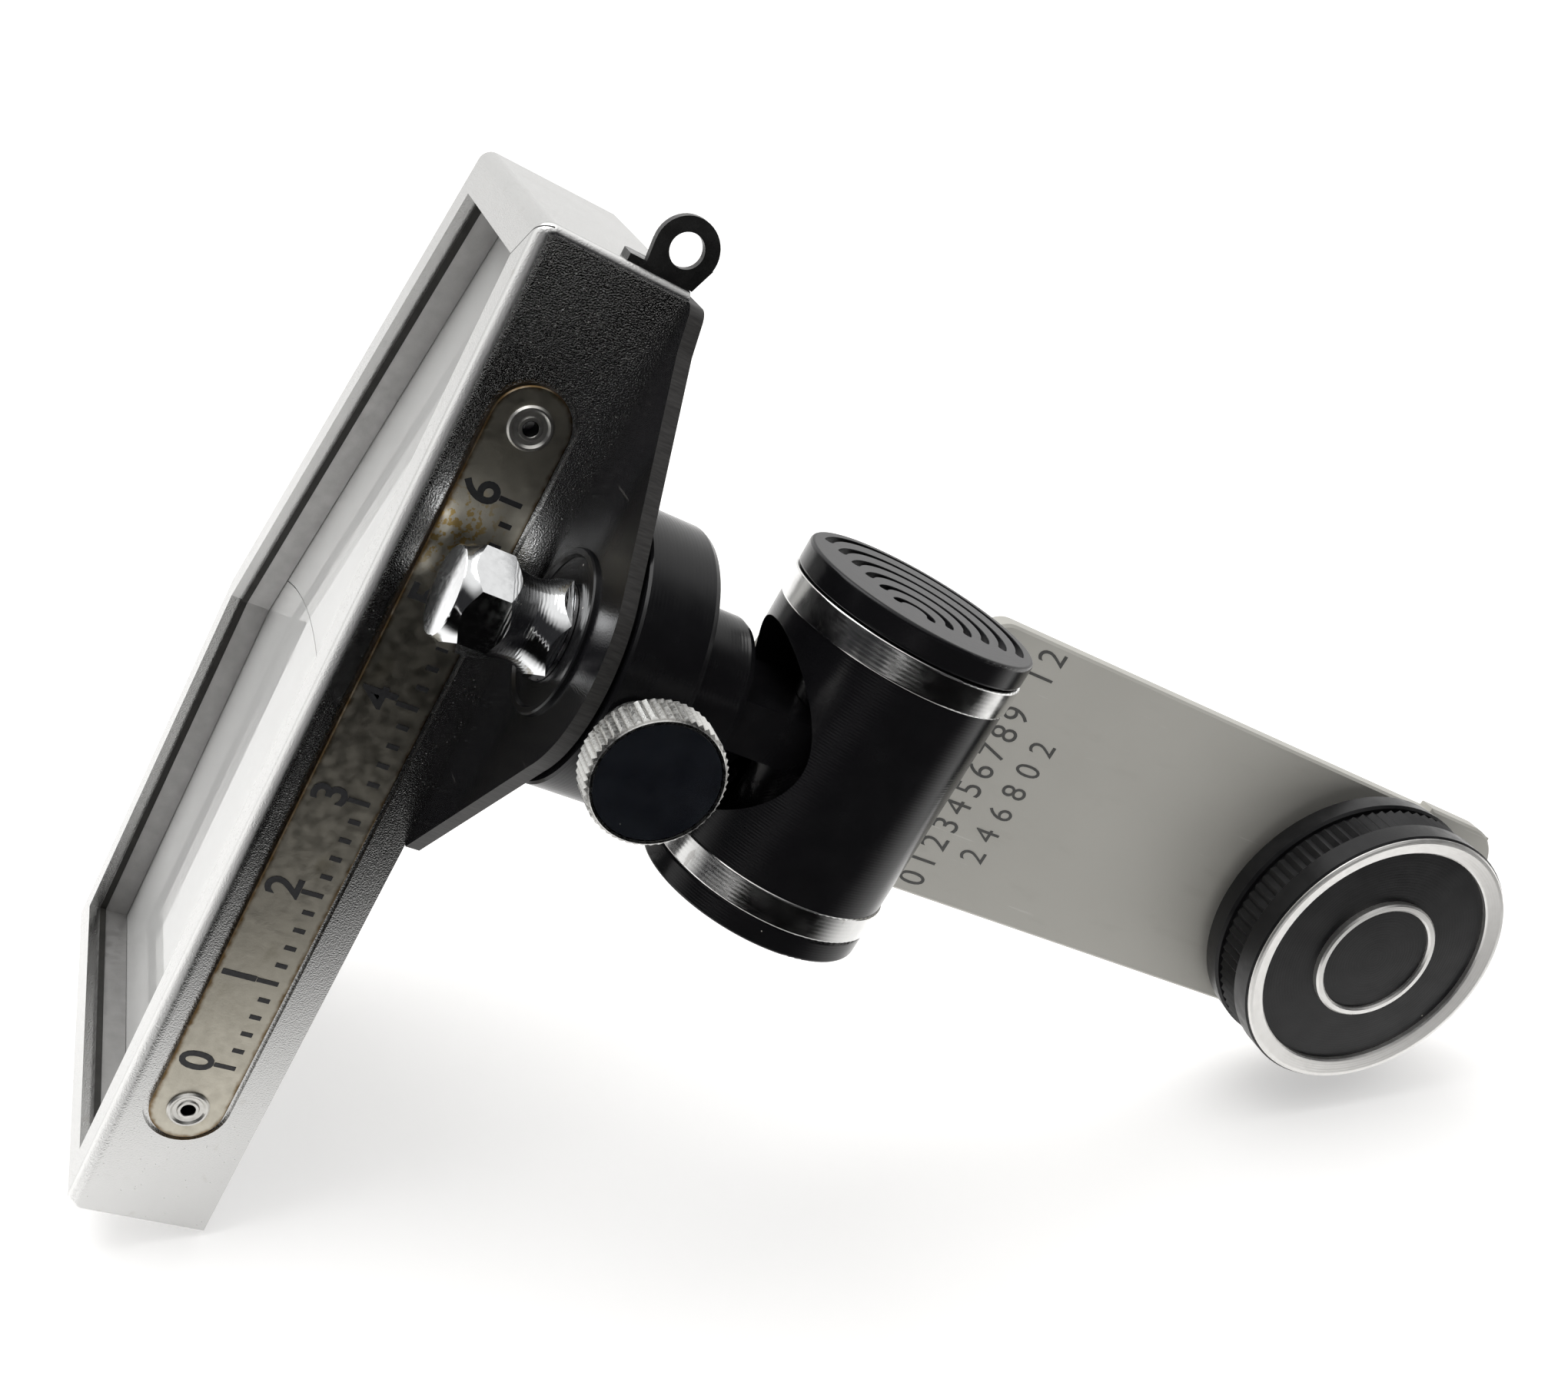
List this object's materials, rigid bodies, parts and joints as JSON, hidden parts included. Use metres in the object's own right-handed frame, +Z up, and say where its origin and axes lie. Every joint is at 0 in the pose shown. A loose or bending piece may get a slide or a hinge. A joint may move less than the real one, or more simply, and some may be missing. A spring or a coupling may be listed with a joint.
{
  "type": "camera close-up finder attachment",
  "caption": "Framed optical window on a lockable swivel and hinge, carried by a flat arm with a tripod-screw knob that clamps it under a camera.",
  "frame": {"origin": "centre of the bounding box's footprint, on the surface it stands on", "axes": "+Z up; +X along the standing part from the window frame towards the tripod knob; +Y from the nameplate side to the side of the window frame's slanted wall"},
  "size_m": [0.1154, 0.0576, 0.0723],
  "materials": {
    "satin_chrome": "satin",
    "black_lacquer": "satin",
    "grey_spacer": "satin",
    "light_spacer": "matte",
    "lens_glass": "clear",
    "aged_nickel": "aged",
    "bright_nickel": "polished",
    "black_steel": "gloss",
    "screw_steel": "machined",
    "black_anodised": "satin",
    "spring_steel": "satin",
    "bright_chrome": "polished",
    "brass": "machined",
    "gloss_black": "gloss",
    "polished_aluminium": "polished",
    "grip_black": "satin",
    "grey_nickel": "satin",
    "knob_black": "satin",
    "white_metal": "polished",
    "fibre": "matte"
  },
  "bodies": {
    "head": {"frame_shell": "satin_chrome", "lens_cell": "black_lacquer", "front_spacer": "grey_spacer", "viewfinder_lens": "lens_glass", "rangefinder_lens": "lens_glass", "middle_spacer": "light_spacer", "rear_glass": "lens_glass", "back_plate": "satin_chrome", "nameplate": "aged_nickel", "nameplate_eyelets": "bright_nickel", "bracket_plate": "black_steel", "bracket_screws": "screw_steel", "strap_lug": "black_steel", "boss_housing": "black_anodised", "friction_washer": "spring_steel", "knob_thrust_washer": "spring_steel"},
    "swivel": {"swivel_shaft": "black_anodised"},
    "hex_knob": {"hex_knob": "bright_chrome"},
    "clamp_screw": {"clamp_screw": "bright_chrome", "clamp_screw_face": "gloss_black", "clamp_pad": "brass"},
    "arm": {"barrel_body": "black_anodised", "upper_ring": "polished_aluminium", "lower_ring": "polished_aluminium", "hinge_axle": "screw_steel", "lower_bush": "black_anodised", "upper_bush": "black_anodised", "hinge_washer": "spring_steel", "lower_cap": "black_anodised", "arm_plate": "grey_nickel", "arm_screws": "screw_steel", "knob_washer": "fibre"},
    "grip_cap": {"upper_cap": "grip_black"},
    "tripod_knob": {"knob_disc": "knob_black", "knob_outer_ring": "white_metal", "knob_inner_ring": "white_metal", "knob_centre_disc": "knob_black", "tripod_screw": "screw_steel", "screw_clip": "spring_steel"}
  },
  "joints": [
    {"name": "swivel_turn", "type": "hinge", "parent": "head", "child": "swivel", "pos_m": [-0.01846, -0.0139, 0.04642], "axis": [0.8912, 0, -0.4537], "continuous": true},
    {"name": "hex_knob_turn", "type": "hinge", "parent": "swivel", "child": "hex_knob", "pos_m": [-0.0276, -0.0139, 0.05107], "axis": [0.8912, 0, -0.4537], "continuous": true},
    {"name": "clamp_screw_turn", "type": "hinge", "parent": "head", "child": "clamp_screw", "pos_m": [-0.02141, -0.0239, 0.04696], "axis": [0, 1, 0], "continuous": true},
    {"name": "arm_tilt", "type": "hinge", "parent": "swivel", "child": "arm", "pos_m": [-0.0055, -0.0139, 0.0392], "axis": [0.4537, 0, 0.8912], "range_deg": [-12, 12]},
    {"name": "grip_cap_turn", "type": "hinge", "parent": "arm", "child": "grip_cap", "pos_m": [-0.00064, -0.0139, 0.04876], "axis": [0.4537, 0, 0.8912], "continuous": true},
    {"name": "tripod_knob_turn", "type": "hinge", "parent": "arm", "child": "tripod_knob", "pos_m": [0.042, -0.0116, 0.01502], "axis": [0, 1, 0], "continuous": true}
  ]
}
